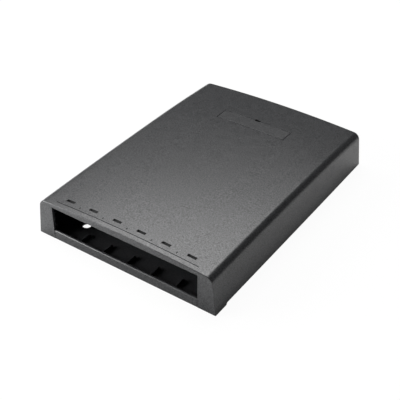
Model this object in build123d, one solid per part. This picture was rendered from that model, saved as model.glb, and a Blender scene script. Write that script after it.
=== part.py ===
from build123d import *
import math
import os

# Six-port surface-mount outlet box: a moulded cover over a moulded base tray.
# Millimetres. X runs across the ports, Y from the port face (low) to the rear, Z up.
# The origin is the middle of the footprint, on the surface that the box lies on.

# ---- ports -----------------------------------------------------------------
PORTS = 6
PITCH = 19.05                    # snap-in jack pitch, three quarters of an inch
WINDOW_W = 114.8                 # port window, left to right
WINDOW_TOP = 25.7                # height of the window's upper edge
SILL_TOP = 6.8                   # height of the sill below the window
SEAM = 0.3                       # gap between the sill's ends and the cover

# ---- cover form --------------------------------------------------------------
BASE_W = 141.8                   # width at the bottom edge
BASE_L = 197.2                   # length at the bottom edge
SIDE_LEAN = 0.110                # side walls lean in, mm per mm of height
CROWN_TOP = 31.4                 # height at the middle of the top
CROWN_ACROSS = 2.6               # rise of the top across the width
CROWN_ALONG = 1.04               # rise of the top along the length
STRAIGHT = 15.0                  # the crown starts behind the marks
LEVEL = 12.0                     # it ends level with the bottom, this far from the rear
LEVEL_R = 200.0                  # hollow arc that brings it level
SECTION_FOOT = -5.0              # sections are drawn past the bottom edge
WALL = 2.2                       # wall of the mouldings
PAST = 1.0                       # cutters reach this far past a face
FRONT_WALL = 2.4
SIDE_R = 5.6                     # rounding of the top's long edges
REAR_R = 3.2                     # rounding round the rear wall
RELIEF = 1.3                     # side and rear walls lifted off the surface behind the front feet
RELIEF_RAMP = 2.0                # length of the slope where the relief starts
FRONT_FOOT = 11.0                # length of the feet left at the front

FRONT = -BASE_L / 2
REAR = BASE_L / 2
ACROSS_R = ((BASE_W / 2) ** 2 + CROWN_ACROSS ** 2) / (2 * CROWN_ACROSS)
ALONG_R = ((BASE_L / 2) ** 2 + CROWN_ALONG ** 2) / (2 * CROWN_ALONG)
CROWN_AXIS = Axis((0, 0, CROWN_TOP - ALONG_R), (1, 0, 0))

# ---- marks on the top, measured back from the port face ---------------------------
GROOVE_BACK = 3.7                # fine groove in front of the slots
GROOVE_W = 0.5
GROOVE_DEEP = 0.4
GROOVE_L = 112.0
SLOT_BACK = 8.6                  # jack release slots
SLOT_L = 6.6
SLOT_W = 2.2
TICK_BACK = 6.1                  # division marks between the ports
TICK_L = 1.4
TICK_W = 0.7

# ---- inside of the cover -----------------------------------------------------------
RIB_DEEP = 1.2                   # ribs over the jacks, below the ceiling
RIB_T = 1.2
RIB_L = 9.0
BAR_T = 1.6                      # latch bar behind the slots
BAR_GAP = 0.6

# ---- label plate and the screw below it -----------------------------------------
PLATE_W = 56.6                   # pocket size; the plate is smaller by its gap
PLATE_D = 12.5
PLATE_BACK = 155.6               # pocket centre, back from the port face
PLATE_T = 1.4
PLATE_GAP = 0.25
PLATE_R = 1.2
PLATE_FLOOR = 1.6                # wall left under the pocket
LEG_X = 18.0                     # snap legs of the plate
LEG_W = 5.0
LEG_T = 1.2
LEG_BARB = 0.4
BARB_H = 1.6
LEG_ROOM = 0.3
LEG_DROP = 0.75                  # fall of the top from its middle to the plate
NOTCH_W = 4.4                    # pry notch in the plate's rear edge
NOTCH_D = 1.2
NOTCH_R = 0.5
HEAD_R = 3.0                     # cover screw, pan head
HEAD_H = 2.2
SHANK_R = 1.45
SHANK_L = 19.0
BOSS_R = 4.6
BOSS_SPLIT = 14.0                # height where the cover's boss seats on the tray's
BOSS_FOOT = 4.0                  # bottom of the screw hole in the tray's boss
HEAD_SEAT = 26.6
HEAD_ROOM = 0.5
SHANK_ROOM = 0.35                # clearance in the cover's boss
SHANK_FIT = 0.15                 # clearance in the tray's boss
CROSS_L = 3.6                    # cross recess of the screw
CROSS_W = 0.9
CROSS_DEEP = 1.2
GUSSET_T = 1.2                   # wings that steady both screw bosses
GUSSET_L = 5.0
GUSSET_SET = 4.0                 # they stop short of the split
GUSSET_CUT = 3.0                 # cut corner of the tray's wings

# ---- base tray -------------------------------------------------------------------
FLOOR_T = 2.0
BASE_GAP = 0.5                   # between the tray and the cover's walls
RAIL_IN = 0.8                    # rail set in from the tray's edge
RAIL_T = 1.6
RAIL_TOP = 9.0
RAIL_GAP = 1.0                   # the rails stop beside the window and the cable entry
RAIL_SLIT = 2.0                  # slits that part the rails into tongues
RAIL_SLITS = (50.0, 66.0, 126.0, 142.0)
SILL_R = 1.1
DIVIDER_R = 2.0
HOLE_R = 3.1                     # mounting holes
HOLE_X = 5 * PITCH               # 95.25, the middle of the outer ports
HOLE_Y = 150.0
FRONT_HOLE_BACK = 21.0
DIVIDER_L = 12.0                 # low walls between the jack seats
DIVIDER_TOP = 4.6
ENTRY_W = 26.0                   # cable entry in the rear wall
ENTRY_TOP = 13.0
ENTRY_R = 3.0
WELL_W = 44.0                    # wiring hole in the floor
WELL_D = 18.0
WELL_R = 3.0
WELL_BACK = 177.0
LUG_FROM = 158.5                 # lugs of the tray under the cover's side walls
LUG_L = 14.0
LUG_T = 1.1
TIE_X = 24.0                     # cable tie bridges beside the wiring hole's front
TIE_BACK = 148.0
TIE_W = 9.0
TIE_D = 4.0
TIE_H = 3.6
TIE_BAR = 1.6
TIE_LEG = 2.0
TIE_CUT = 1.2

# ---- slack spools ------------------------------------------------------------------
SPOOL_X = 33.0
SPOOL_BACK = 104.0
SPOOL_R = 23.0
SPOOL_WALL = 1.6
SPOOL_H = 15.0
FIN_W = 20.0                     # chord of each curved fin
TAB_OUT = 6.5
TAB_W = 9.0
TAB_T = 1.4
HUB_W = 10.0
HUB_H = 3.0
ARM_W = 6.0
ARM_T = 1.6
PEG_R = 2.0
PEG_H = 4.4
PEG_FIT = 0.1

# ---- foam mounting pads ----------------------------------------------------------------
PAD_W = 100.0
PAD_D = 14.0
PAD_T = 0.8
PAD_R = 2.0
PAD_GAP = 0.2
PAD_BACKS = {"front": 44.0, "rear": 146.0}


def back(distance):
    """Y of a place given by its distance back from the port face."""
    return FRONT + distance


def block(x0, x1, y0, y1, z0, z1):
    """Upright block between two corners."""
    size = (x1 - x0, y1 - y0, z1 - z0)
    centre = ((x0 + x1) / 2, (y0 + y1) / 2, (z0 + z1) / 2)
    return Pos(*centre) * Box(*size)


def post(x, y, radius, z0, z1):
    """Upright round post."""
    return Pos(x, y, z0) * Cylinder(radius, z1 - z0, align=(Align.CENTER, Align.CENTER, Align.MIN))


def upright(outline, z0, z1):
    """Flat outline carried up between two heights."""
    return Pos(0, 0, z0) * extrude(outline, z1 - z0)


def plan(half_w, front_y, rear_y, corner):
    """Plan outline with square front corners and cut-off rear ones."""
    outline = Pos(0, (front_y + rear_y) / 2) * Rectangle(2 * half_w, rear_y - front_y)
    corners = outline.vertices().sort_by(Axis.Y)[-2:]
    return chamfer(corners, corner)


def across_arc(half_w, top):
    """Arc across the top, with its crest at the given height, and the height of its ends."""
    edge_z = top - ACROSS_R + (ACROSS_R**2 - half_w**2) ** 0.5
    return ThreePointArc((-half_w, edge_z), (0, top), (half_w, edge_z)), edge_z


def crown_near(y, lowered):
    """Everything below the crowned top near one distance y, lowered by the given depth."""
    half_w = BASE_W / 2 - SECTION_FOOT
    arc, edge_z = across_arc(half_w, CROWN_TOP - lowered)
    deep = -CROWN_TOP
    rest = Polyline((half_w, edge_z), (half_w, deep), (-half_w, deep), (-half_w, edge_z))
    below = extrude(Plane.XZ * make_face([arc, rest]), BASE_L, both=True)
    return below.rotate(CROWN_AXIS, -math.degrees(y / ALONG_R))


def cover_section(inset, z0):
    """Outline across the cover: leaning walls, rounded shoulders and crowned top."""
    top = CROWN_TOP - inset
    foot_w = BASE_W / 2 - inset - SIDE_LEAN * z0
    edge_w = BASE_W / 2 - inset - SIDE_LEAN * (top - CROWN_ACROSS)
    arc, edge_z = across_arc(edge_w, top)
    rest = Polyline((edge_w, edge_z), (foot_w, z0), (-foot_w, z0), (-edge_w, edge_z))
    outline = make_face([arc, rest])
    shoulders = outline.vertices().sort_by(Axis.Y)[-2:]
    return Plane.XZ * fillet(shoulders, SIDE_R - inset)


def crowned_bar(inset):
    """Cover section carried back along the crown, and straight on at both ends."""
    front_turn = math.degrees(math.asin((BASE_L / 2 - STRAIGHT) / ALONG_R))
    rear_turn = math.degrees(math.asin((BASE_L / 2 - LEVEL) / ALONG_R))
    reach = ALONG_R + LEVEL_R
    level_y = reach * math.sin(math.radians(rear_turn))
    level_z = CROWN_AXIS.position.Z + reach * math.cos(math.radians(rear_turn))
    level_axis = Axis((0, level_y, level_z), (1, 0, 0))
    section = cover_section(inset, SECTION_FOOT).rotate(CROWN_AXIS, front_turn)
    bar = extrude(section, 2 * STRAIGHT)
    bar += revolve(section, CROWN_AXIS, -front_turn - rear_turn)
    section = section.rotate(CROWN_AXIS, -front_turn - rear_turn)
    bar += revolve(section, level_axis, rear_turn)
    return bar + extrude(section.rotate(level_axis, rear_turn), -2 * LEVEL)


def port_lines():
    """X of the lines between and beside the ports, from left to right."""
    return [(i - PORTS / 2) * PITCH for i in range(PORTS + 1)]


def port_centres():
    return [(i - (PORTS - 1) / 2) * PITCH for i in range(PORTS)]


def engraving(outlines, distance, depth):
    """Cutter that sinks flat outlines into the crowned top, at a distance from the port face."""
    return upright(Sketch() + outlines, 0, CROWN_TOP + PAST) - crown_near(back(distance), depth)


def label_outline(gap):
    """Outline of the label pocket, or of the plate when drawn in by a gap."""
    centre = (0, back(PLATE_BACK))
    return Pos(*centre) * RectangleRounded(PLATE_W - 2 * gap, PLATE_D - 2 * gap, PLATE_R)


def mark_outlines():
    """Slots, groove and division marks on the top, as flat outlines."""
    groove = Pos(0, back(GROOVE_BACK)) * SlotOverall(GROOVE_L, GROOVE_W)
    ticks = [Pos(x, back(TICK_BACK)) * Rectangle(TICK_W, TICK_L) for x in port_lines()[1:-1]]
    slots = [Pos(x, back(SLOT_BACK)) * Rectangle(SLOT_L, SLOT_W) for x in port_centres()]
    return groove, ticks, slots


def pry_notch():
    """Outline of the notch behind the label plate, and over the plate's rear edge."""
    rounded = RectangleRounded(NOTCH_W, 2 * NOTCH_D, NOTCH_R)
    return Pos(0, back(PLATE_BACK + PLATE_D / 2)) * rounded


def cover_ribs():
    """Port ribs, latch bar, pocket frame and screw boss, each reaching up past the ceiling."""
    front_in = back(FRONT_WALL)
    ribs = Part()
    for x in port_lines():
        ribs += block(x - RIB_T / 2, x + RIB_T / 2, front_in, front_in + RIB_L, SILL_TOP, CROWN_TOP)
    bar_y = back(SLOT_BACK + SLOT_W / 2 + BAR_GAP)
    bar = block(-WINDOW_W / 2, WINDOW_W / 2, bar_y, bar_y + BAR_T, SILL_TOP, CROWN_TOP)
    frame = upright(label_outline(-WALL), 0, CROWN_TOP)
    y = back(PLATE_BACK)
    reach = BOSS_R + GUSSET_L
    half = GUSSET_T / 2
    wing_z = BOSS_SPLIT + GUSSET_SET
    boss = post(0, y, BOSS_R, BOSS_SPLIT, CROWN_TOP)
    boss += block(-reach, reach, y - half, y + half, wing_z, CROWN_TOP)
    boss += block(-half, half, y - reach, y + reach, wing_z, CROWN_TOP)
    return [
        ribs - crown_near(front_in, WALL + RIB_DEEP),
        bar - crown_near(bar_y, WALL + RIB_DEEP),
        frame - crown_near(y, PLATE_T + PLATE_FLOOR),
        boss,
    ]


def wall_relief():
    """Cut that lifts the walls off the surface behind the front feet."""
    start = back(FRONT_FOOT)
    end = REAR + PAST
    side = Polyline(
        (start, -PAST),
        (start, 0),
        (start + RELIEF_RAMP, RELIEF),
        (end, RELIEF),
        (end, -PAST),
        close=True,
    )
    return extrude(Plane.YZ * make_face(side), BASE_W / 2 + PAST, both=True)


def cover_outside():
    """Outer form of the cover with its slots, marks and label pocket."""
    outer = crowned_bar(0) & block(-BASE_W, BASE_W, FRONT, REAR, 0, CROWN_TOP + PAST)
    rear_edges = outer.faces().sort_by(Axis.Y)[-1].edges().sort_by(Axis.Z)
    outer = fillet(rear_edges[1:], REAR_R)
    outer -= engraving([label_outline(0), pry_notch()], PLATE_BACK, PLATE_T)
    groove, ticks, slots = mark_outlines()
    outer -= upright(Sketch() + slots, WINDOW_TOP - 2 * WALL, CROWN_TOP + PAST)
    return outer - engraving([groove, *ticks], GROOVE_BACK, GROOVE_DEEP)


def cover_hollow():
    """Inside of the cover, with its ribs and screw boss left standing."""
    rear = REAR - WALL
    outline = plan(BASE_W / 2 - WALL, back(FRONT_WALL), rear, REAR_R - WALL)
    room = upright(outline, -PAST, CROWN_TOP)
    slope = Polyline(
        (rear - REAR_R - WALL / 2, CROWN_TOP),
        (rear + WALL / 2, CROWN_TOP - REAR_R - WALL),
        (rear + WALL / 2, CROWN_TOP),
        close=True,
    )
    room -= extrude(Plane.YZ * make_face(slope), BASE_W, both=True)
    hollow = crowned_bar(WALL) & room
    for rib in cover_ribs():
        hollow -= rib
    return hollow


def make_cover():
    cover = cover_outside() - cover_hollow()
    half = WINDOW_W / 2
    cover -= block(-half, half, FRONT - PAST, back(FRONT_WALL) + SEAM, -PAST, WINDOW_TOP)
    entry = block(-ENTRY_W / 2, ENTRY_W / 2, REAR - 2 * WALL, REAR + PAST, -PAST, ENTRY_TOP)
    cover -= fillet(entry.edges().filter_by(Axis.Y).sort_by(Axis.Z)[-2:], ENTRY_R)
    cover -= wall_relief()
    y = back(PLATE_BACK)
    cover -= post(0, y, HEAD_R + HEAD_ROOM, HEAD_SEAT, CROWN_TOP)
    cover -= post(0, y, SHANK_R + SHANK_ROOM, 0, CROWN_TOP)
    for x in (-LEG_X, LEG_X):
        half = LEG_W / 2 + LEG_ROOM
        deep = LEG_T / 2 + LEG_BARB + LEG_ROOM
        cover -= block(x - half, x + half, y - deep, y + deep, BOSS_SPLIT, CROWN_TOP)
    return cover


def make_label_plate():
    """Snap-in plate that carries the label and hides the cover screw."""
    y = back(PLATE_BACK)
    plate = upright(label_outline(PLATE_GAP) - pry_notch(), 0, CROWN_TOP) & crown_near(y, 0)
    plate -= crown_near(y, PLATE_T)
    barb_top = CROWN_TOP - PLATE_T - PLATE_FLOOR - LEG_DROP
    leg_foot = barb_top - BARB_H
    leg_back = y + LEG_T / 2
    barb = Polyline((leg_back, barb_top), (leg_back + LEG_BARB, barb_top), (leg_back, leg_foot), close=True)
    barb = extrude(Plane.YZ * make_face(barb), LEG_W / 2, both=True)
    for x in (-LEG_X, LEG_X):
        leg = block(x - LEG_W / 2, x + LEG_W / 2, y - LEG_T / 2, leg_back, leg_foot, CROWN_TOP)
        plate += (leg & crown_near(y, PLATE_T / 2)) + Pos(x, 0, 0) * barb
    return plate


def make_cover_screw():
    """Self-tapping screw with a low round head and a cross recess."""
    y = back(PLATE_BACK)
    head = post(0, y, HEAD_R, HEAD_SEAT, HEAD_SEAT + HEAD_H)
    bar = block(-CROSS_L / 2, CROSS_L / 2, y - CROSS_W / 2, y + CROSS_W / 2, 0, CROSS_DEEP)
    cross = bar + block(-CROSS_W / 2, CROSS_W / 2, y - CROSS_L / 2, y + CROSS_L / 2, 0, CROSS_DEEP)
    head -= Pos(0, 0, HEAD_SEAT + HEAD_H - CROSS_DEEP) * cross
    return head + post(0, y, SHANK_R, HEAD_SEAT - SHANK_L, HEAD_SEAT)


def tray_outline(inset):
    """Plan of the tray behind the port face, drawn in by an inset."""
    wall = WALL + BASE_GAP + inset
    half_w = BASE_W / 2 - SIDE_LEAN * FLOOR_T - wall
    return plan(half_w, back(FRONT_WALL + BASE_GAP + inset), REAR - wall, REAR_R - WALL)


def tray_rails():
    """Upright rails that steady the cover, slit into tongues."""
    ring = tray_outline(RAIL_IN) - tray_outline(RAIL_IN + RAIL_T)
    rails = extrude(ring, RAIL_TOP)
    half = WINDOW_W / 2 + RAIL_GAP
    rails -= block(-half, half, FRONT, back(2 * RAIL_TOP), FLOOR_T, RAIL_TOP)
    half = ENTRY_W / 2 + RAIL_GAP
    rails -= block(-half, half, 0, REAR, FLOOR_T, RAIL_TOP)
    for spot in RAIL_SLITS:
        y = back(spot)
        rails -= block(-BASE_W, BASE_W, y - RAIL_SLIT / 2, y + RAIL_SLIT / 2, FLOOR_T, RAIL_TOP)
    return rails


def tray_sill():
    """Sill below the port window, flush with the port face, with jack dividers behind it."""
    half = WINDOW_W / 2 - SEAM
    start = back(FRONT_WALL / 2)
    sill = block(-half, half, FRONT, back(FRONT_WALL), 0, SILL_TOP)
    sill = fillet(sill.edges().filter_by(Axis.X).sort_by(Axis.Z)[-2:], SILL_R)
    sill += block(-half, half, start, back(2 * FRONT_WALL), 0, FLOOR_T)
    for x in port_lines()[1:-1]:
        divider = block(x - RIB_T / 2, x + RIB_T / 2, start, start + DIVIDER_L, 0, DIVIDER_TOP)
        rear_top = divider.edges().filter_by(Axis.X).sort_by(Axis.Z)[-2:].sort_by(Axis.Y)[-1:]
        sill += fillet(rear_top, DIVIDER_R)
    return sill


def hole_places():
    """Centres of the four mounting holes."""
    front_y = back(FRONT_HOLE_BACK)
    return [(x, y) for x in (-HOLE_X / 2, HOLE_X / 2) for y in (front_y, front_y + HOLE_Y)]


def spool_places():
    return {"left": (-SPOOL_X, back(SPOOL_BACK)), "right": (SPOOL_X, back(SPOOL_BACK))}


def pad_outline(name, gap):
    return Pos(0, back(PAD_BACKS[name])) * RectangleRounded(PAD_W - 2 * gap, PAD_D - 2 * gap, PAD_R)


def tray_boss():
    """Boss that takes the cover screw, with four wings."""
    boss = post(0, 0, BOSS_R, 0, BOSS_SPLIT)
    reach = BOSS_R + GUSSET_L
    for angle in (45, 135):
        wing = block(-reach, reach, -GUSSET_T / 2, GUSSET_T / 2, 0, BOSS_SPLIT - GUSSET_SET)
        wing = chamfer(wing.edges().filter_by(Axis.Y).sort_by(Axis.Z)[-2:], GUSSET_CUT)
        boss += Rot(0, 0, angle) * wing
    boss -= post(0, 0, SHANK_R + SHANK_FIT, BOSS_FOOT, BOSS_SPLIT + PAST)
    return Pos(0, back(PLATE_BACK)) * boss


def side_lugs():
    """Low lugs that reach out under the relieved edge of the cover's side walls."""
    lugs = Part()
    inner = BASE_W / 2 - 2 * WALL
    outer = BASE_W / 2 - 2 * BASE_GAP
    for side in (-1, 1):
        x0, x1 = sorted((side * inner, side * outer))
        lugs += block(x0, x1, back(LUG_FROM), back(LUG_FROM + LUG_L), 0, LUG_T)
    return lugs


def tie_anchors():
    """Bridges on the floor that cable ties pass under."""
    anchors = Part()
    y = back(TIE_BACK)
    under = TIE_H - TIE_BAR
    half = TIE_W / 2 - TIE_LEG
    for x in (-TIE_X, TIE_X):
        bridge = block(x - TIE_W / 2, x + TIE_W / 2, y - TIE_D / 2, y + TIE_D / 2, 0, FLOOR_T + TIE_H)
        bridge = chamfer(bridge.edges().filter_by(Axis.Y).sort_by(Axis.Z)[-2:], TIE_CUT)
        anchors += bridge - block(x - half, x + half, y - TIE_D, y + TIE_D, FLOOR_T, FLOOR_T + under)
    return anchors


def make_base():
    """Floor tray with rails, sill, boss, anchors and spool pegs."""
    base = extrude(tray_outline(0), FLOOR_T)
    base += tray_sill() + tray_rails() + side_lugs() + tie_anchors() + tray_boss()
    for x, y in spool_places().values():
        base += post(x, y, PEG_R, 0, FLOOR_T + PEG_H)
    for x, y in hole_places():
        base -= post(x, y, HOLE_R, -PAST, FLOOR_T + PAST)
    well = Pos(0, back(WELL_BACK)) * RectangleRounded(WELL_W, WELL_D, WELL_R)
    base -= upright(well, -PAST, FLOOR_T + PAST)
    for name in PAD_BACKS:
        base -= extrude(pad_outline(name, 0), PAD_T)
    return base


def make_spool(x, y):
    """Slack spool: four curved fins with keeper tabs, on a cross of arms and a square hub."""
    z0 = FLOOR_T
    z1 = FLOOR_T + SPOOL_H
    out = SPOOL_R + TAB_OUT
    ring = post(0, 0, SPOOL_R, z0, z1) - post(0, 0, SPOOL_R - SPOOL_WALL, z0 - PAST, z1 + PAST)
    fin = ring & block(0, SPOOL_R, -FIN_W / 2, FIN_W / 2, z0, z1)
    fin += block(0, SPOOL_R - SPOOL_WALL / 2, -ARM_W / 2, ARM_W / 2, z0, z0 + ARM_T)
    fin += block(SPOOL_R - SPOOL_WALL, out, -TAB_W / 2, TAB_W / 2, z1 - TAB_T, z1)
    fin += block(out - TAB_T, out, -TAB_W / 2, TAB_W / 2, z1 - 2 * TAB_T, z1)
    spool = block(-HUB_W / 2, HUB_W / 2, -HUB_W / 2, HUB_W / 2, z0, z0 + HUB_H)
    for quarter in range(4):
        spool += Rot(0, 0, 90 * quarter) * fin
    spool -= post(0, 0, PEG_R + PEG_FIT, z0 - PAST, z0 + HUB_H + PAST)
    return Pos(x, y) * spool


def make_pad(name):
    """Foam mounting pad, let into the underside of the tray."""
    return extrude(pad_outline(name, PAD_GAP), PAD_T)


def main():
    nodes = {
        "cover": make_cover(),
        "base": make_base(),
        "label_plate": make_label_plate(),
        "cover_screw": make_cover_screw(),
    }
    for name, place in spool_places().items():
        nodes["slack_spool_" + name] = make_spool(*place)
    for name in PAD_BACKS:
        nodes["mounting_pad_" + name] = make_pad(name)
    os.makedirs("parts", exist_ok=True)
    for name, solid in nodes.items():
        export_step(solid, "parts/" + name + ".step")


if __name__ == "__main__":
    main()
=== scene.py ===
import math

import bmesh
import bpy
from mathutils import Matrix, Vector


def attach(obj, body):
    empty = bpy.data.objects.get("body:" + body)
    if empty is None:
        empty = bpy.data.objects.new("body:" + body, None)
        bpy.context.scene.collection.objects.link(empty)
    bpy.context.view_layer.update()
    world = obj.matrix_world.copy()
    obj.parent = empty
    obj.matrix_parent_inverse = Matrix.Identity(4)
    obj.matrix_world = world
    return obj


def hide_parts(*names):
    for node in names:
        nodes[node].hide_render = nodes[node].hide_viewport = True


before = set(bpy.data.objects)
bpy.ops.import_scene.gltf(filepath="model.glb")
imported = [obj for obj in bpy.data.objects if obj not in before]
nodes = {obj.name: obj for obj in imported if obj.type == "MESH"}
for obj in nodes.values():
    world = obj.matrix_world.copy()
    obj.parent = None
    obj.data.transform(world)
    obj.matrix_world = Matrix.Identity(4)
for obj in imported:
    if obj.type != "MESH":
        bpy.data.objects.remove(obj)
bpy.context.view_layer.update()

MM = 0.001

# ---- camera ------------------------------------------------------------------
CAMERA_LOOK_AT = Vector((-2.53, -8.21, 0.0)) * MM
CAMERA_DISTANCE = 595.4 * MM
CAMERA_TURN = math.radians(34.08)       # swung to the right of the port face
CAMERA_DOWN = math.radians(36.78)
CAMERA_ROLL = math.radians(0.60)
CAMERA_LENS = 75.7
CAMERA_SENSOR = 36.0
CAMERA_NEAR = 0.01

# ---- stage and light, in metres and watts ------------------------------------
FLOOR_SIZE = 6.0
FLOOR_GREY = 0.93
FLOOR_GLOW = 0.95                       # how white the floor stands to the camera
FLOOR_GLOW_MIRRORED = 0.06              # and in reflections, which keep more of its shade
WORLD_LIGHT = 0.07
WORLD_MIRRORED = 0.02                   # how much of the white backdrop reflections hold
SOFTBOXES = (                           # name, place, width, height, power, roll
    ("key_softbox", (-0.43, 0.56, 1.33), 1.1, 1.05, 22.0, math.radians(-18)),
    ("front_softbox", (-0.52, -0.46, 0.25), 0.5, 0.4, 7.5, 0.0),
    ("left_softbox", (-1.25, 0.20, 0.85), 0.5, 0.5, 9.0, 0.0),
)

# ---- cover shell, in millimetres ---------------------------------------------
BASE_W = 141.8
BASE_L = 197.2
FRONT = -BASE_L / 2
REAR = BASE_L / 2
SIDE_LEAN = 0.110
CROWN_TOP = 31.4
CROWN_ACROSS = 2.6
CROWN_ALONG = 1.04
SHOULDER_R = 5.6
REAR_R = 3.2
REAR_LEAN = math.radians(1.7)           # the rear wall leans in
WALL = 2.2
FRONT_EDGE = 0.5
FOOT = -5.0                             # the section is drawn past the bottom edge
ACROSS_R = ((BASE_W / 2) ** 2 + CROWN_ACROSS ** 2) / (2 * CROWN_ACROSS)
ALONG_R = ((BASE_L / 2) ** 2 + CROWN_ALONG ** 2) / (2 * CROWN_ALONG)
ARC_Z = CROWN_TOP - ACROSS_R            # centre of the arc across the top
LEVEL_AT = 88.0                         # the crown along the box runs level behind this
TAIL_FROM = 30.0                        # behind this the top falls a little more
REAR_FALL = 1.3                         # by this much at the rear
STRIP_SLOPE = 0.045                     # extra slope of the strip before the groove

# ---- openings and marks of the cover -----------------------------------------
PORTS = 6
PITCH = 19.05
WINDOW_W = 114.8
WINDOW_TOP = 25.7
SLOT_SIZE = (6.6, 2.2)
SLOT_R = 0.15
SLOT_BACK = 8.6                         # each BACK is a distance behind the front face
SLOT_REACH = 4.0                        # how far below the window's top the slots are cut
GROOVE_BACK = 3.7
GROOVE_L = 112.0
GROOVE_W = 0.5
MARK_DEEP = 0.4
TICK_SIZE = (0.7, 1.4)
TICK_BACK = 6.1
POCKET_SIZE = (56.6, 12.5)
POCKET_R = 1.2
POCKET_BACK = 155.6
POCKET_Y = FRONT + POCKET_BACK
POCKET_DEEP = 1.4
POCKET_END = 0.4                        # the corner edges lie this near the pocket's ends
RIM = 0.45                              # chamfer on the pocket's rear rim
NOTCH_SIZE = (4.4, 2.4)
NOTCH_R = 0.5
RELIEF = 1.3
RELIEF_RAMP = 2.0
FRONT_FOOT = 11.0
ENTRY_W = 26.0
ENTRY_TOP = 13.0
ENTRY_R = 3.0
ENTRY_REACH = 4.0                       # how far in from the rear the entry is cut
PAST = 1.0                              # cutters reach this far past a face
STATIONS = (GROOVE_BACK, 9, 15, *range(24, 175, 10), 182, 188, BASE_L)  # steps along the crown

# ---- inner features of the cover ---------------------------------------------
RIB_BACK = 2.4
RIB_T = 1.2
RIB_L = 9.0
RIB_DEEP = 1.2
BAR_BACK = 10.3
BAR_T = 1.6
FRAME_DEEP = 3.0
FRAME_TOP = 1.8
BOSS_R = 4.6
BOSS_SPLIT = 14.0                       # the boss comes down to this height
GUSSET_L = 5.0
GUSSET_T = 1.2
GUSSET_SET = 4.0
GUSSET_IN = 0.25
HEAD_ROOM_R = 3.5
HEAD_SEAT = 26.6
SHANK_ROOM_R = 1.8

# ---- label plate -------------------------------------------------------------
PLATE_GAP = 0.35
PLATE_SET = 0.2                         # the plate lies back in its pocket
LEG_X = 18.0
LEG_W = 5.0
LEG_T = 1.2
LEG_FOOT = 26.2
LEG_SLOT = (2.8, 1.3)                   # half its width and half its depth

# ---- smoothness and broken edges ---------------------------------------------
CENTRE_ROUNDS = 20                      # enough for the shoulder's centre to settle
CROWN_STEPS = 36
SHOULDER_STEPS = 14
POCKET_STEPS = 20
REAR_STEPS = 10
ENTRY_STEPS = 6
CORNER_STEPS = 5
FRONT_STEPS = 4
NOTCH_STEPS = 3
SLOT_STEPS = 2
BREAK_STEPS = 2
POST_SIDES = 40
EDGE_BREAK = 0.12
TRAY_BREAK = 0.15
SPOOL_BREAK = 0.15
SCREW_BREAK = 0.1
MERGE = 0.004                           # points nearer than this become one
SHARP = math.radians(40)                # edges past this angle are broken
SMOOTH = math.radians(30)               # faces within this angle shade as one
FLAT = math.radians(0.5)                # faces within this angle become one

# ---- tolerances, in metres ---------------------------------------------------
NEAR = 1e-6
DOUBLES = 1e-7
STEP = 1e-4                             # a rise or a shift that counts
THROUGH_RISE = 5e-4                     # edges through a curved slab rise more than this
THROUGH_SHIFT = 2e-4                    # and shift back or forth less than this

# ---- faces with painted shade, and the sill kept in the cover's finish, in millimetres ---
MARKS_FROM = FRONT + GROOVE_BACK - 1.0
MARKS_TO = FRONT + SLOT_BACK + 2.0
MARK_SKIN = 0.05                        # walls of a mark lie this far under the top
WINDOW_SKIN = 0.1
SILL_FRONT = 2.0
SILL_BACK = 3.0
SILL_FOOT = 3.0

# ---- finishes, in millimetres ------------------------------------------------
NOISE_LOW = 0.3                         # noise seldom leaves this range
NOISE_HIGH = 0.7
NOISE_ROUGH = 0.6
GRAIN_DETAIL = 2.0
CLOUD = 5.0                             # size of the slow change in gloss
CLOUD_DETAIL = 3.0
GLOSS_SWING = 0.03
SHINE = 0.5
ZINC_DARK = (0.42, 0.43, 0.45)
ZINC_LIGHT = (0.66, 0.67, 0.68)
ZINC_ROUGHNESS = (0.22, 0.42)
ZINC_HAZE = 0.8
ZINC_DETAIL = 5.0
FOAM_DARK = (0.012, 0.012, 0.013)
FOAM_LIGHT = (0.05, 0.05, 0.052)
FOAM_ROUGHNESS = 0.95
FOAM_SHINE = 0.2
FOAM_CELL = 0.5
FOAM_DEEP = 0.1
FOAM_BUMP = 0.8


# ---- node trees --------------------------------------------------------------
def node(tree, kind, **values):
    """New node, with values for its sockets or its settings."""
    made = tree.nodes.new(kind)
    for key, value in values.items():
        if key in made.inputs:
            made.inputs[key].default_value = value
        else:
            setattr(made, key, value)
    return made


def calc(tree, operation, *terms):
    """Result of a math node whose terms are sockets or numbers."""
    made = node(tree, "ShaderNodeMath", operation=operation)
    for socket, term in zip(made.inputs, terms):
        if isinstance(term, float):
            socket.default_value = term
        else:
            tree.links.new(term, socket)
    return made.outputs[0]


def spread(tree, source, low, high, source_low=NOISE_LOW, source_high=NOISE_HIGH):
    """Stretches a source over a range."""
    made = node(tree, "ShaderNodeMapRange")
    made.inputs["From Min"].default_value = source_low
    made.inputs["From Max"].default_value = source_high
    made.inputs["To Min"].default_value = low
    made.inputs["To Max"].default_value = high
    tree.links.new(source, made.inputs["Value"])
    return made.outputs[0]


def blend(tree, source, dark, light, low=0.0, high=1.0):
    """Colour that runs from dark to light over a range of its source."""
    made = node(tree, "ShaderNodeValToRGB")
    first, last = made.color_ramp.elements
    first.position = low
    last.position = high
    first.color = (*dark, 1)
    last.color = (*light, 1)
    tree.links.new(source, made.inputs["Fac"])
    return made.outputs["Color"]


def backdrop_share(tree, white, mirrored):
    """How much of the white backdrop a ray sees: camera and clear rays most, mirrored ones less."""
    path = node(tree, "ShaderNodeLightPath")
    share = calc(tree, "MULTIPLY", path.outputs["Is Glossy Ray"], mirrored)
    share = calc(tree, "MULTIPLY_ADD", path.outputs["Is Transmission Ray"], white, share)
    return calc(tree, "MULTIPLY_ADD", path.outputs["Is Camera Ray"], white, share)


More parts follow.
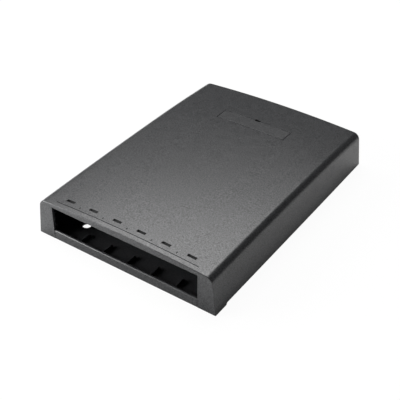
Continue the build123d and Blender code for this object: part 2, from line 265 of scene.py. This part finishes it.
# ---- camera, stage and light -------------------------------------------------
def add_camera():
    """Camera above the front right corner, level but for a slight roll."""
    forward = Vector((
        -math.sin(CAMERA_TURN) * math.cos(CAMERA_DOWN),
        math.cos(CAMERA_TURN) * math.cos(CAMERA_DOWN),
        -math.sin(CAMERA_DOWN),
    ))
    level = Vector((math.cos(CAMERA_TURN), math.sin(CAMERA_TURN), 0.0))
    upright = level.cross(forward)
    right = level * math.cos(CAMERA_ROLL) + upright * math.sin(CAMERA_ROLL)
    up = right.cross(forward)
    place = CAMERA_LOOK_AT - forward * CAMERA_DISTANCE
    bpy.ops.object.camera_add()
    camera = bpy.context.object
    camera.name = "camera"
    turn = Matrix((right, up, -forward)).transposed().to_4x4()
    camera.matrix_world = Matrix.Translation(place) @ turn
    camera.data.lens = CAMERA_LENS
    camera.data.sensor_width = CAMERA_SENSOR
    camera.data.clip_start = CAMERA_NEAR
    bpy.context.scene.camera = camera


def add_softbox(name, place, width, height, watts, roll):
    """Rectangular soft light aimed at the origin, turned about its own axis by the roll."""
    bpy.ops.object.light_add(type="AREA", location=place)
    lamp = bpy.context.object
    lamp.name = name
    lamp.data.shape = "RECTANGLE"
    lamp.data.size = width
    lamp.data.size_y = height
    lamp.data.energy = watts
    turn = (-Vector(place)).to_track_quat("-Z", "Y").to_matrix()
    lamp.rotation_euler = (turn @ Matrix.Rotation(roll, 3, "Z")).to_euler()


def floor_material():
    """Pale floor that stands near white to the camera and keeps the shadow."""
    material = bpy.data.materials.new("pale_floor")
    material.use_nodes = True
    tree = material.node_tree
    tree.nodes.clear()
    output = node(tree, "ShaderNodeOutputMaterial")
    diffuse = node(tree, "ShaderNodeBsdfDiffuse", Color=(FLOOR_GREY, FLOOR_GREY, FLOOR_GREY, 1))
    glow = node(tree, "ShaderNodeEmission", Color=(1, 1, 1, 1), Strength=1.0)
    mix = node(tree, "ShaderNodeMixShader")
    share = backdrop_share(tree, FLOOR_GLOW, FLOOR_GLOW_MIRRORED)
    tree.links.new(share, mix.inputs["Fac"])
    tree.links.new(diffuse.outputs[0], mix.inputs[1])
    tree.links.new(glow.outputs[0], mix.inputs[2])
    tree.links.new(mix.outputs[0], output.inputs["Surface"])
    return material


def add_floor():
    """Floor under the part."""
    bpy.ops.object.select_all(action="DESELECT")
    bpy.ops.mesh.primitive_plane_add(size=FLOOR_SIZE)
    floor = bpy.context.object
    floor.name = "floor"
    floor.data.materials.append(floor_material())


def add_world():
    """White backdrop that gives a little even light."""
    world = bpy.data.worlds.new("studio")
    bpy.context.scene.world = world
    world.use_nodes = True
    tree = world.node_tree
    tree.nodes.clear()
    output = node(tree, "ShaderNodeOutputWorld")
    seen = node(tree, "ShaderNodeBackground", Color=(1, 1, 1, 1), Strength=1.0)
    light = node(tree, "ShaderNodeBackground", Color=(1, 1, 1, 1), Strength=WORLD_LIGHT)
    mix = node(tree, "ShaderNodeMixShader")
    tree.links.new(backdrop_share(tree, 1.0, WORLD_MIRRORED), mix.inputs["Fac"])
    tree.links.new(light.outputs[0], mix.inputs[1])
    tree.links.new(seen.outputs[0], mix.inputs[2])
    tree.links.new(mix.outputs[0], output.inputs["Surface"])


# ---- mesh steps, which take millimetres --------------------------------------
def select_only(obj):
    bpy.ops.object.select_all(action="DESELECT")
    obj.select_set(True)
    bpy.context.view_layer.objects.active = obj


def edit(obj, kind="VERT"):
    """Only this object selected and in edit mode, with nothing selected in it."""
    if bpy.context.object and bpy.context.object.mode == "EDIT":
        bpy.ops.object.mode_set(mode="OBJECT")
    select_only(obj)
    bpy.ops.object.mode_set(mode="EDIT")
    bpy.ops.mesh.select_mode(type=kind)
    bpy.ops.mesh.select_all(action="DESELECT")


def done():
    bpy.ops.object.mode_set(mode="OBJECT")
    return bpy.context.object


def pick(obj, wanted, kind="VERT"):
    """Selects the vertices or edges that a test wants, in edit mode."""
    mesh = bmesh.from_edit_mesh(obj.data)
    for item in {"VERT": mesh.verts, "EDGE": mesh.edges}[kind]:
        item.select_set(bool(wanted(item)))
    bmesh.update_edit_mesh(obj.data)


def apply_place():
    bpy.ops.object.transform_apply(location=True, rotation=True, scale=True)


def spin(angle, centre, steps):
    """Sweeps what is selected about an axis along Y."""
    centre = [v * MM for v in centre]
    bpy.ops.mesh.spin(steps=steps, angle=angle, center=centre, axis=(0, 1, 0))


def extrude(offset):
    bpy.ops.mesh.extrude_region_move(TRANSFORM_OT_translate={"value": [v * MM for v in offset]})


def shift(offset):
    bpy.ops.transform.translate(value=[v * MM for v in offset])


def bevel(width, steps, clamp=False):
    bpy.ops.mesh.bevel(
        offset=width * MM, offset_type="OFFSET", segments=steps, affect="EDGES", clamp_overlap=clamp
    )


def turn_about(angle, axis, centre):
    """Turns what is selected in edit mode; with no window the operator turns the other way."""
    centre = [v * MM for v in centre]
    bpy.ops.transform.rotate(value=-angle, orient_axis=axis, center_override=centre)


def plain_box(name, low, high):
    """Box between two corners."""
    bpy.ops.object.select_all(action="DESELECT")
    middle = [(a + b) / 2 * MM for a, b in zip(low, high)]
    size = [(b - a) * MM for a, b in zip(low, high)]
    bpy.ops.mesh.primitive_cube_add(size=1, location=middle, scale=size)
    box = bpy.context.object
    box.name = name
    apply_place()
    return box


def post(name, x, y, radius, z0, z1):
    """Upright round post."""
    bpy.ops.object.select_all(action="DESELECT")
    place = (x * MM, y * MM, (z0 + z1) / 2 * MM)
    bpy.ops.mesh.primitive_cylinder_add(
        vertices=POST_SIDES, radius=radius * MM, depth=(z1 - z0) * MM, location=place
    )
    bar = bpy.context.object
    bar.name = name
    apply_place()
    return bar


def upright(edge):
    a, b = (v.co for v in edge.verts)
    return abs(a.z - b.z) > STEP and abs(a.x - b.x) < STEP and abs(a.y - b.y) < STEP


def round_uprights(box, radius, steps):
    """Rounds the four upright edges of a box."""
    edit(box, "EDGE")
    pick(box, upright, "EDGE")
    bevel(radius, steps)
    return done()


def copies(obj, offsets):
    """An object and its copies, each with its own mesh, at offsets along X."""
    made = [obj]
    for x in offsets:
        select_only(obj)
        bpy.ops.object.duplicate(linked=False)
        shift((x, 0, 0))
        apply_place()
        made.append(bpy.context.object)
    return made


def combine(obj, tools, operation):
    """Boolean of an object with a list of tools, which are joined and used up."""
    bpy.ops.object.select_all(action="DESELECT")
    for tool in tools:
        tool.select_set(True)
    bpy.context.view_layer.objects.active = tools[0]
    if len(tools) > 1:
        bpy.ops.object.join()
    tool = bpy.context.object
    select_only(obj)
    step = obj.modifiers.new("step", "BOOLEAN")
    step.operation = operation
    step.solver = "EXACT"
    step.use_self = operation == "UNION"
    step.object = tool
    bpy.ops.object.modifier_apply(modifier="step")
    bpy.data.objects.remove(tool, do_unlink=True)


def soften(obj, width):
    """Breaks the sharp outward edges by a small width, and shades the rest smooth."""
    edit(obj)
    bpy.ops.mesh.select_all(action="SELECT")
    bpy.ops.mesh.remove_doubles(threshold=MERGE * MM)
    bpy.ops.mesh.dissolve_degenerate(threshold=MERGE * MM)
    edit(obj, "EDGE")
    pick(obj, lambda e: len(e.link_faces) == 2 and e.calc_face_angle_signed(0) > SHARP, "EDGE")
    bevel(width, BREAK_STEPS, clamp=True)
    done()
    bpy.ops.object.shade_smooth_by_angle(angle=SMOOTH)
    weighted = obj.modifiers.new("weighted", "WEIGHTED_NORMAL")
    weighted.keep_sharp = True
    bpy.ops.object.modifier_apply(modifier="weighted")


# ---- cover form --------------------------------------------------------------
def fall(y):
    """How far the crown has come down at a distance y from the middle."""
    strip = max(0, FRONT + GROOVE_BACK - y) * STRIP_SLOPE
    tail = REAR_FALL * (max(0, y - TAIL_FROM) / (REAR - TAIL_FROM)) ** 2
    return min(y, LEVEL_AT) ** 2 / (2 * ALONG_R) + strip + tail


def top_at(x, y):
    """Height of the crowned top."""
    return ARC_Z + math.sqrt(ACROSS_R ** 2 - x ** 2) - fall(y)


def shoulder_centre():
    """Centre of the arc between the leaning wall and the crowned top."""
    slant = math.hypot(1, SIDE_LEAN)
    z = CROWN_TOP - SHOULDER_R
    for _ in range(CENTRE_ROUNDS):
        x = BASE_W / 2 - SIDE_LEAN * z - SHOULDER_R * slant
        z = ARC_Z + math.sqrt((ACROSS_R - SHOULDER_R) ** 2 - x ** 2)
    return x, z


def cover_profile():
    """Outline of the cover's section, as an open wire at the port face."""
    cx, cz = shoulder_centre()
    slant = math.hypot(1, SIDE_LEAN)
    wall_top = (cx + SHOULDER_R / slant, cz + SHOULDER_R * SIDE_LEAN / slant)
    foot = (BASE_W / 2 - SIDE_LEAN * FOOT, FOOT)
    crown_end = math.atan2(cz - ARC_Z, cx)
    shoulder = crown_end - math.atan(SIDE_LEAN)
    drop = fall(FRONT)
    bpy.ops.object.select_all(action="DESELECT")
    bpy.ops.mesh.primitive_plane_add(size=MM)
    shell = bpy.context.object
    shell.name = "cover_shell"
    edit(shell)
    bpy.ops.mesh.select_all(action="SELECT")
    bpy.ops.mesh.merge(type="CENTER")
    shift((foot[0], FRONT, foot[1] - drop))
    extrude((wall_top[0] - foot[0], 0, wall_top[1] - foot[1]))
    spin(shoulder, (cx, FRONT, cz - drop), SHOULDER_STEPS)
    spin(math.pi - 2 * crown_end, (0, FRONT, ARC_Z - drop), CROWN_STEPS)
    spin(shoulder, (-cx, FRONT, cz - drop), SHOULDER_STEPS)
    extrude((wall_top[0] - foot[0], 0, foot[1] - wall_top[1]))
    return shell


def on_front(edge):
    """Whether an edge lies in the front face and not along its bottom."""
    a, b = (v.co for v in edge.verts)
    off_bottom = min(a.z, b.z) > NEAR or abs(a.z - b.z) > STEP
    return max(a.y, b.y) < FRONT * MM + NEAR and off_bottom


def cover_body():
    """Open-bottomed shell, drawn back along the crown, with round rear edges and thick walls."""
    shell = cover_profile()
    bpy.ops.mesh.select_all(action="SELECT")
    place = 0
    for station in STATIONS:
        rise = fall(FRONT + place) - fall(FRONT + station)
        extrude((0, station - place, rise))
        place = station
    for y in (FRONT, REAR):
        bpy.ops.mesh.select_mode(type="EDGE")
        bpy.ops.mesh.select_all(action="DESELECT")
        pick(shell, lambda e: all(abs(v.co.y - y * MM) < NEAR for v in e.verts), "EDGE")
        bpy.ops.mesh.edge_face_add()
    bpy.ops.mesh.select_all(action="SELECT")
    bpy.ops.mesh.normals_make_consistent(inside=False)
    rear = REAR * MM - NEAR
    pick(shell, lambda v: v.co.y > rear)
    turn_about(REAR_LEAN, "X", (0, REAR, 0))
    bpy.ops.mesh.select_mode(type="EDGE")
    rim = rear - (CROWN_TOP * MM) * math.sin(REAR_LEAN)
    pick(shell, lambda e: all(v.co.y > rim for v in e.verts) and len(e.link_faces) == 2, "EDGE")
    bevel(REAR_R, REAR_STEPS)
    done()
    wall = shell.modifiers.new("wall", "SOLIDIFY")
    wall.thickness = WALL * MM
    wall.offset = -1
    wall.use_even_offset = True
    bpy.ops.object.modifier_apply(modifier="wall")
    edit(shell, "EDGE")
    bpy.ops.mesh.select_all(action="SELECT")
    bpy.ops.mesh.bisect(plane_co=(0, 0, 0), plane_no=(0, 0, 1), clear_inner=True, use_fill=True)
    pick(shell, on_front, "EDGE")
    bevel(FRONT_EDGE, FRONT_STEPS)
    return done()


def curved_slab(name, width, y0, y1, low, high, steps=CROWN_STEPS):
    """Slab that follows the crown across and along, between two depths from its surface."""
    middle = (y0 + y1) / 2
    crest = top_at(0, middle)
    centre = (0, middle, ARC_Z - fall(middle))
    turn = width / ACROSS_R
    bpy.ops.object.select_all(action="DESELECT")
    bpy.ops.mesh.primitive_plane_add(size=1)
    slab = bpy.context.object
    slab.name = name
    slab.rotation_euler = (0, math.pi / 2, 0)
    slab.scale = ((high - low) * MM, (y1 - y0) * MM, 1)
    slab.location = (0, middle * MM, (crest + (low + high) / 2) * MM)
    apply_place()
    edit(slab)
    bpy.ops.mesh.select_all(action="SELECT")
    turn_about(turn / 2, "Y", centre)
    spin(turn, centre, steps)
    bpy.ops.mesh.select_all(action="SELECT")
    bpy.ops.mesh.remove_doubles(threshold=DOUBLES)
    bpy.ops.mesh.normals_make_consistent(inside=False)
    turn_about(-min(middle, LEVEL_AT) / ALONG_R, "X", (0, middle, crest))
    return done()


# ---- cutters and inner features ----------------------------------------------
def port_lines():
    """Places across the box of the lines between the ports and at their ends."""
    return [(i - PORTS / 2) * PITCH for i in range(PORTS + 1)]


def port_centres():
    return [(i - (PORTS - 1) / 2) * PITCH for i in range(PORTS)]


def slot_cutters():
    xs = port_centres()
    y = FRONT + SLOT_BACK
    w, d = SLOT_SIZE
    low = (xs[0] - w / 2, y - d / 2, WINDOW_TOP - SLOT_REACH)
    slot = plain_box("slot", low, (xs[0] + w / 2, y + d / 2, CROWN_TOP))
    slot = round_uprights(slot, SLOT_R, SLOT_STEPS)
    return copies(slot, [x - xs[0] for x in xs[1:]])


def tick_cutters():
    y = FRONT + TICK_BACK
    w, d = TICK_SIZE
    cutters = []
    for x in port_lines()[1:-1]:
        z = top_at(x, y)
        low = (x - w / 2, y - d / 2, z - MARK_DEEP)
        cutters.append(plain_box("tick", low, (x + w / 2, y + d / 2, z + PAST)))
    return cutters


def relief_cutter():
    """Lifts the walls off the surface behind the front feet, with a slope where it starts."""
    start = FRONT + FRONT_FOOT
    low = (-BASE_W / 2 - PAST, start, -PAST)
    relief = plain_box("relief", low, (BASE_W / 2 + PAST, REAR + PAST, RELIEF))
    edit(relief, "EDGE")
    near = (start + PAST) * MM
    pick(relief, lambda e: all(v.co.z > 0 and v.co.y < near for v in e.verts), "EDGE")
    shift((0, RELIEF_RAMP, 0))
    return done()


def entry_cutter():
    """Cable entry in the rear wall, rounded at its upper corners."""
    low = (-ENTRY_W / 2, REAR - ENTRY_REACH, -PAST)
    entry = plain_box("entry", low, (ENTRY_W / 2, REAR + PAST, ENTRY_TOP))
    edit(entry, "EDGE")
    pick(entry, lambda e: all(v.co.z > 0 for v in e.verts) and
         abs(e.verts[0].co.x - e.verts[1].co.x) < NEAR, "EDGE")
    bevel(ENTRY_R, ENTRY_STEPS)
    return done()


def runs_through(edge):
    """Whether an edge of a curved slab runs through its thickness."""
    a, b = (v.co for v in edge.verts)
    return abs(a.z - b.z) > THROUGH_RISE and abs(a.y - b.y) < THROUGH_SHIFT


def label_slab(name, gap, low, high):
    """Rounded slab in the crown's curve: the label pocket, or the plate, drawn in by a gap."""
    w, d = (v - 2 * gap for v in POCKET_SIZE)
    slab = curved_slab(name, w, POCKET_Y - d / 2, POCKET_Y + d / 2, low, high, POCKET_STEPS)
    edit(slab, "EDGE")
    end = (w / 2 - POCKET_END) * MM
    pick(slab, lambda e: runs_through(e) and all(abs(v.co.x) > end for v in e.verts), "EDGE")
    bevel(POCKET_R, CORNER_STEPS)
    return done()


def rim_cutter():
    """Wedge that chamfers the pocket's rear rim."""
    y = POCKET_Y + POCKET_SIZE[1] / 2
    width = POCKET_SIZE[0] - 2 * POCKET_R
    rim = curved_slab("rim", width, y - RIM, y + 2 * RIM, -2 * RIM, PAST, POCKET_STEPS)
    edit(rim)
    pick(rim, lambda v: v.co.y > (y + RIM) * MM and v.co.z < top_at(v.co.x / MM, y) * MM)
    shift((0, 0, 3 * RIM))
    return done()


def notch_cutter(low, high):
    """Finger notch in the pocket's rear edge, between two depths."""
    y = POCKET_Y + POCKET_SIZE[1] / 2
    z = top_at(0, y)
    w, d = NOTCH_SIZE
    notch = plain_box("notch", (-w / 2, y - d / 2, z + low), (w / 2, y + d / 2, z + high))
    return round_uprights(notch, NOTCH_R, NOTCH_STEPS)


def leg_cutters():
    """Slots for the label plate's legs."""
    half_w, half_d = LEG_SLOT
    y = POCKET_Y
    cutters = []
    for x in (-LEG_X, LEG_X):
        low = (x - half_w, y - half_d, BOSS_SPLIT)
        cutters.append(plain_box("leg_slot", low, (x + half_w, y + half_d, CROWN_TOP)))
    return cutters


def inner_features():
    """Port ribs, latch bar, pocket frame and screw boss under the ceiling."""
    made = []
    y = FRONT + RIB_BACK
    half = RIB_T / 2
    for x in port_lines():
        z = top_at(x, y) - WALL
        made.append(plain_box("rib", (x - half, y, z - RIB_DEEP), (x + half, y + RIB_L, z + PAST)))
    y = FRONT + BAR_BACK
    made.append(curved_slab("latch_bar", WINDOW_W, y, y + BAR_T, -WALL - RIB_DEEP, -PAST))
    w, d = POCKET_SIZE
    y = POCKET_Y
    half = d / 2 + WALL
    depths = (-FRAME_DEEP, -FRAME_TOP)
    w += 2 * WALL
    made.append(curved_slab("pocket_frame", w, y - half, y + half, *depths, POCKET_STEPS))
    ceiling = top_at(0, y) - FRAME_TOP
    made.append(post("boss", 0, y, BOSS_R, BOSS_SPLIT, ceiling))
    reach = BOSS_R + GUSSET_L
    half = GUSSET_T / 2
    foot = BOSS_SPLIT + GUSSET_SET
    head = ceiling - GUSSET_IN
    made.append(plain_box("gusset", (-reach, y - half, foot), (reach, y + half, head)))
    made.append(plain_box("gusset", (-half, y - reach, foot), (half, y + reach, head)))
    return made


# ---- finished pieces ---------------------------------------------------------
def build_cover():
    """The whole cover moulding; tools that overlap each other are cut in steps of their own."""
    shell = cover_body()
    combine(shell, inner_features(), "UNION")
    low = (-WINDOW_W / 2, FRONT - PAST, -PAST)
    window = plain_box("window", low, (WINDOW_W / 2, FRONT + RIB_BACK, WINDOW_TOP))
    y = FRONT + GROOVE_BACK
    half = GROOVE_W / 2
    groove = curved_slab("groove", GROOVE_L, y - half, y + half, -MARK_DEEP, PAST)
    tools = [window, groove, entry_cutter()] + slot_cutters() + tick_cutters()
    tools.append(label_slab("pocket", 0, -POCKET_DEEP, PAST))
    combine(shell, tools, "DIFFERENCE")
    combine(shell, [relief_cutter()], "DIFFERENCE")
    y = POCKET_Y
    tools = [notch_cutter(-POCKET_DEEP, PAST)]
    tools.append(post("head_room", 0, y, HEAD_ROOM_R, HEAD_SEAT, CROWN_TOP))
    combine(shell, tools + leg_cutters(), "DIFFERENCE")
    combine(shell, [post("shank_room", 0, y, SHANK_ROOM_R, 0, CROWN_TOP)], "DIFFERENCE")
    combine(shell, [rim_cutter()], "DIFFERENCE")
    soften(shell, EDGE_BREAK)
    return shell


def build_label_plate():
    """Snap-in plate with two legs."""
    plate = label_slab("snap_label_plate", PLATE_GAP, -POCKET_DEEP, 0)
    edit(plate)
    bpy.ops.mesh.select_all(action="SELECT")
    shift((0, PLATE_SET, 0))
    done()
    combine(plate, [notch_cutter(-POCKET_DEEP - PAST, PAST)], "DIFFERENCE")
    y = POCKET_Y
    w = LEG_W / 2
    t = LEG_T / 2
    legs = []
    for x in (-LEG_X, LEG_X):
        z = top_at(x, y) - POCKET_DEEP / 2
        legs.append(plain_box("leg", (x - w, y - t, LEG_FOOT), (x + w, y + t, z)))
    combine(plate, legs, "UNION")
    soften(plate, EDGE_BREAK)
    return plate


def finished_copy(name, new_name, width):
    """Merged copy of a CAD node with its sharp edges broken."""
    select_only(nodes[name])
    bpy.ops.object.duplicate(linked=False)
    piece = bpy.context.object
    piece.name = new_name
    for key in [k for k in piece.keys() if k.startswith("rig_")]:
        del piece[key]
    piece.parent = None
    edit(piece)
    bpy.ops.mesh.select_all(action="SELECT")
    bpy.ops.mesh.remove_doubles(threshold=MERGE * MM)
    bpy.ops.mesh.dissolve_limited(angle_limit=FLAT)
    done()
    soften(piece, width)
    return piece


# ---- finishes ----------------------------------------------------------------
def new_finish(name):
    """New material, its node tree, its shader and its object coordinates."""
    material = bpy.data.materials.new(name)
    material.use_nodes = True
    tree = material.node_tree
    place = node(tree, "ShaderNodeTexCoord").outputs["Object"]
    return material, tree, tree.nodes["Principled BSDF"], place


def noise(tree, place, size, detail):
    """Noise of a grain size in millimetres."""
    scale = 1 / (size * MM)
    made = node(tree, "ShaderNodeTexNoise", Scale=scale, Detail=detail, Roughness=NOISE_ROUGH)
    tree.links.new(place, made.inputs["Vector"])
    return made.outputs["Fac"]


def add_bump(tree, shader, height, strength, deep):
    bump = node(tree, "ShaderNodeBump", Strength=strength, Distance=deep * MM)
    tree.links.new(height, bump.inputs["Height"])
    tree.links.new(bump.outputs["Normal"], shader.inputs["Normal"])


def moulded_plastic(name, colour, roughness, grain, deep, speckle):
    """Moulded plastic with a fine eroded grain, whose pits are darker and less shiny."""
    material, tree, shader, place = new_finish(name)
    pits = noise(tree, place, grain, GRAIN_DETAIL)
    cloud = noise(tree, place, CLOUD, CLOUD_DETAIL)
    add_bump(tree, shader, pits, 1.0, deep)
    gloss = spread(tree, cloud, roughness - GLOSS_SWING, roughness + GLOSS_SWING)
    tree.links.new(gloss, shader.inputs["Roughness"])
    shine = spread(tree, pits, SHINE - SHINE * speckle, SHINE + SHINE * speckle)
    tree.links.new(shine, shader.inputs["Specular IOR Level"])
    dark = [c * (1 - speckle) for c in colour]
    light = [c * (1 + speckle) for c in colour]
    tint = blend(tree, pits, dark, light, NOISE_LOW, NOISE_HIGH)
    tree.links.new(tint, shader.inputs["Base Color"])
    return material


def zinc_steel(name):
    """Zinc-plated steel with a hazy, uneven gloss."""
    material, tree, shader, place = new_finish(name)
    shader.inputs["Metallic"].default_value = 1.0
    haze = noise(tree, place, ZINC_HAZE, ZINC_DETAIL)
    tree.links.new(blend(tree, haze, ZINC_DARK, ZINC_LIGHT), shader.inputs["Base Color"])
    tree.links.new(spread(tree, haze, *ZINC_ROUGHNESS, 0.0, 1.0), shader.inputs["Roughness"])
    return material


def foam(name):
    """Black foam with small open cells."""
    material, tree, shader, place = new_finish(name)
    shader.inputs["Roughness"].default_value = FOAM_ROUGHNESS
    shader.inputs["Specular IOR Level"].default_value = FOAM_SHINE
    cells = node(tree, "ShaderNodeTexVoronoi", Scale=1 / (FOAM_CELL * MM))
    tree.links.new(place, cells.inputs["Vector"])
    cells = cells.outputs["Distance"]
    tree.links.new(blend(tree, cells, FOAM_DARK, FOAM_LIGHT), shader.inputs["Base Color"])
    add_bump(tree, shader, cells, FOAM_BUMP, FOAM_DEEP)
    return material


def paint_faces(piece, material, wanted):
    """Gives some of a piece's faces a second material."""
    piece.data.materials.append(material)
    for face in piece.data.polygons:
        if wanted(face.center / MM):
            face.material_index = len(piece.data.materials) - 1


def in_mark(centre):
    """Whether a face of the cover is a wall of a slot, tick or groove, which gets painted shade."""
    near = abs(centre.x) < WINDOW_W / 2 and MARKS_FROM < centre.y < MARKS_TO
    top = top_at(centre.x, centre.y) - MARK_SKIN
    return near and WINDOW_TOP + WINDOW_SKIN < centre.z < top


def in_sill(centre):
    """Whether a face of the tray is on its sill, which shows below the window and keeps the cover's
    finish without the tray's painted shade.
    """
    behind = centre.y < FRONT + SILL_BACK and centre.z > SILL_FOOT
    return centre.y < FRONT + SILL_FRONT or behind


def dress(piece, material, body, slot_name, *stands_for):
    """Gives a finished piece its material and body, and hides the nodes that it stands for; the slot
    name is not used.
    """
    piece.data.materials.clear()
    piece.data.materials.append(material)
    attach(piece, body)
    if stands_for:
        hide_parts(*stands_for)


bpy.context.scene.view_settings.view_transform = "Standard"
bpy.ops.object.select_all(action="DESELECT")
add_camera()
add_floor()
add_world()
for softbox in SOFTBOXES:
    add_softbox(*softbox)

black_shell = moulded_plastic(
    "textured_black_cover", (0.024, 0.0245, 0.026), roughness=0.31, grain=0.8, deep=0.008, speckle=0.4
)
# painted shade: a near-black colour on the walls of the slots, ticks and groove stands in for their
# shade
recess_painted_shade = moulded_plastic(
    "painted_shade_recess", (0.006, 0.006, 0.007), roughness=0.6, grain=0.8, deep=0.005, speckle=0.2
)
# painted shade: the tray is darker than the cover so that its inside reads as shaded under the cover;
# its smoother gloss is its own
tray_painted_shade = moulded_plastic(
    "smooth_black_tray", (0.017, 0.0175, 0.019), roughness=0.5, grain=0.8, deep=0.006, speckle=0.2
)
plate_black = moulded_plastic(
    "satin_black_plate", (0.024, 0.0245, 0.026), roughness=0.32, grain=0.8, deep=0.006, speckle=0.3
)
spool_black = moulded_plastic(
    "smooth_black_spool", (0.02, 0.02, 0.021), roughness=0.35, grain=1.2, deep=0.004, speckle=0.1
)
screw_zinc = zinc_steel("zinc_screw")
pad_foam = foam("black_foam")

cover_shell = build_cover()
dress(cover_shell, black_shell, "lid", "cover_plastic", "cover")
# painted shade on the walls of the slots, ticks and groove
paint_faces(cover_shell, recess_painted_shade, in_mark)
dress(build_label_plate(), plate_black, "lid", "plate_plastic", "label_plate")
tray = finished_copy("base", "tray", TRAY_BREAK)
dress(tray, tray_painted_shade, "tray", "tray_plastic", "base")
# the sill keeps the cover's finish, and the rest of the tray keeps its painted shade
paint_faces(tray, black_shell, in_sill)
lid_screw = finished_copy("cover_screw", "lid_screw", SCREW_BREAK)
dress(lid_screw, screw_zinc, "lid", "screw_steel", "cover_screw")
for side in ("left", "right"):
    spool = finished_copy("slack_spool_" + side, "spool_" + side, SPOOL_BREAK)
    dress(spool, spool_black, "tray", "spool_plastic", "slack_spool_" + side)
for spot in ("front", "rear"):
    pad = nodes["mounting_pad_" + spot]
    pad.data.materials.clear()
    pad.data.materials.append(pad_foam)
